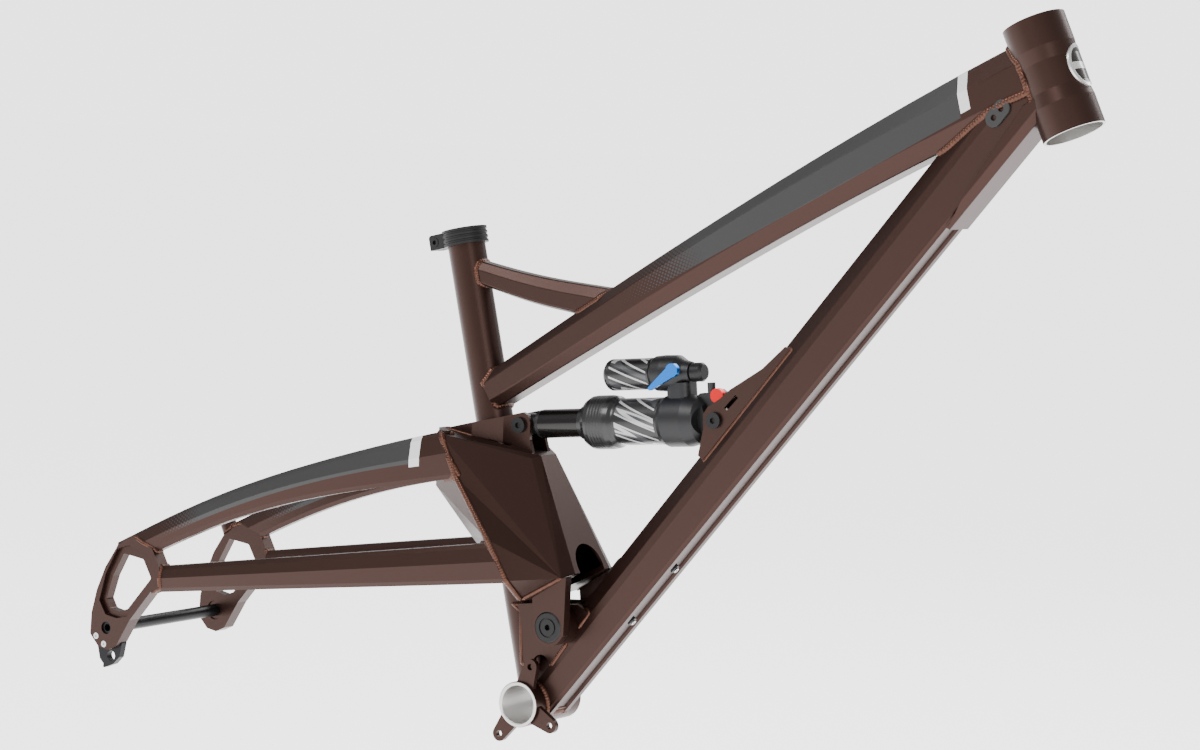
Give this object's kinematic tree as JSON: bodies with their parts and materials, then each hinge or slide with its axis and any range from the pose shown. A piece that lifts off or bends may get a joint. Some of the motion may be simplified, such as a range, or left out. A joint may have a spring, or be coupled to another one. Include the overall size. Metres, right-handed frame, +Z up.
{
  "type": "full-suspension bicycle frame",
  "caption": "Full-suspension mountain bike frame with a welded front triangle, a swinging rear end, an air shock with a reservoir, a seat collar and a rear axle.",
  "frame": {"origin": "centre of the bottom bracket shell", "axes": "+X forwards, +Y towards the bike's left side along the bottom bracket's axis, +Z up with the frame as it rides"},
  "size_m": [1.0093, 0.1843, 0.681],
  "materials": {
    "frame_paint": "satin metallic brown",
    "pivot_black": "satin black",
    "bare_aluminium": "machined",
    "bearing_steel": "ground",
    "bolt_silver": "bright",
    "axle_black": "black anodised",
    "collar_black": "black anodised",
    "shock_black": "satin black",
    "shock_gloss": "gloss black",
    "damper_dark": "smooth dark",
    "lever_blue": "blue anodised",
    "knob_red": "red anodised",
    "rubber_black": "matt",
    "plastic_black": "matt",
    "badge_dark": "satin"
  },
  "bodies": {
    "front_frame": {"seat_tube": "frame_paint", "down_tube": "frame_paint", "top_tube": "frame_paint", "seat_tube_brace": "frame_paint", "head_gusset": "frame_paint", "pivot_gusset_right": "frame_paint", "pivot_gusset_left": "frame_paint", "pivot_housing": "frame_paint", "shock_bracket_front": "frame_paint", "head_tube": "frame_paint", "chain_guide_tabs": "frame_paint", "bb_shell": "bare_aluminium", "pivot_bearings": "bearing_steel", "cable_port": "rubber_black", "cable_exit_grommet": "rubber_black", "cable_clips": "plastic_black", "cable_clip_screws": "bolt_silver", "head_badge": "badge_dark", "seat_collar": "collar_black", "seat_collar_bolt": "collar_black", "shock_bolt_front": "pivot_black"},
    "swingarm": {"yoke": "frame_paint", "chainstay_right": "frame_paint", "chainstay_left": "frame_paint", "upper_stay_right": "frame_paint", "upper_stay_left": "frame_paint", "dropout_right": "frame_paint", "dropout_left": "frame_paint", "brake_mount": "frame_paint", "pivot_ear_right": "frame_paint", "pivot_ear_left": "frame_paint", "shock_bracket_right": "frame_paint", "shock_bracket_left": "frame_paint", "pivot_cap_right": "pivot_black", "pivot_cap_left": "pivot_black", "shock_bolt_rear": "pivot_black", "derailleur_hanger": "axle_black", "pivot_axle": "axle_black", "hanger_bolts": "bolt_silver"},
    "shock_body": {"air_can": "shock_gloss", "reservoir": "shock_gloss", "shock_head": "shock_black", "front_eye_bushing": "bearing_steel", "air_valve_cap": "plastic_black"},
    "shock_shaft": {"rear_eyelet": "shock_black", "air_piston": "shock_black", "rear_eye_bushing": "bearing_steel", "damper_tube": "damper_dark"},
    "firm_lever": {"firm_lever": "lever_blue"},
    "rebound_knob": {"rebound_knob": "knob_red"},
    "compression_knob": {"compression_knob": "collar_black"},
    "rear_axle": {"rear_axle": "axle_black"}
  },
  "joints": [
    {"name": "main_pivot", "type": "hinge", "parent": "front_frame", "child": "swingarm", "pos_m": [0.0345, 0, 0.076], "axis": [0, 1, 0], "range_deg": [0, 15.45]},
    {"name": "shock_front_eye", "type": "hinge", "parent": "front_frame", "child": "shock_body", "pos_m": [0.1836, 0, 0.2756], "axis": [0, 1, 0], "range_deg": [0, 1.8]},
    {"name": "shock_stroke", "type": "slide", "parent": "shock_body", "child": "shock_shaft", "axis": [0.9939, 0, 0.1104], "range_m": [0, 0.05]},
    {"name": "firm_lever_turn", "type": "hinge", "parent": "shock_body", "child": "firm_lever", "pos_m": [0.14072, 0, 0.31662], "axis": [0, 1, 0], "range_deg": [0, 80]},
    {"name": "rebound_turn", "type": "hinge", "parent": "shock_body", "child": "rebound_knob", "pos_m": [0.18164, 0, 0.29701], "axis": [0, 1, 0], "range_deg": [-150, 150]},
    {"name": "compression_turn", "type": "hinge", "parent": "shock_body", "child": "compression_knob", "pos_m": [0.15596, 0, 0.31529], "axis": [0.9939, 0, 0.1104], "range_deg": [-150, 150]},
    {"name": "rear_axle_out", "type": "slide", "parent": "swingarm", "child": "rear_axle", "axis": [0, 1, 0], "range_m": [0, 0.18]}
  ],
  "couplings": [
    {"joint": "shock_front_eye", "follows": "main_pivot", "ratio": 0.114},
    {"joint": "shock_stroke", "follows": "main_pivot", "m_per_rad": 0.1846}
  ]
}
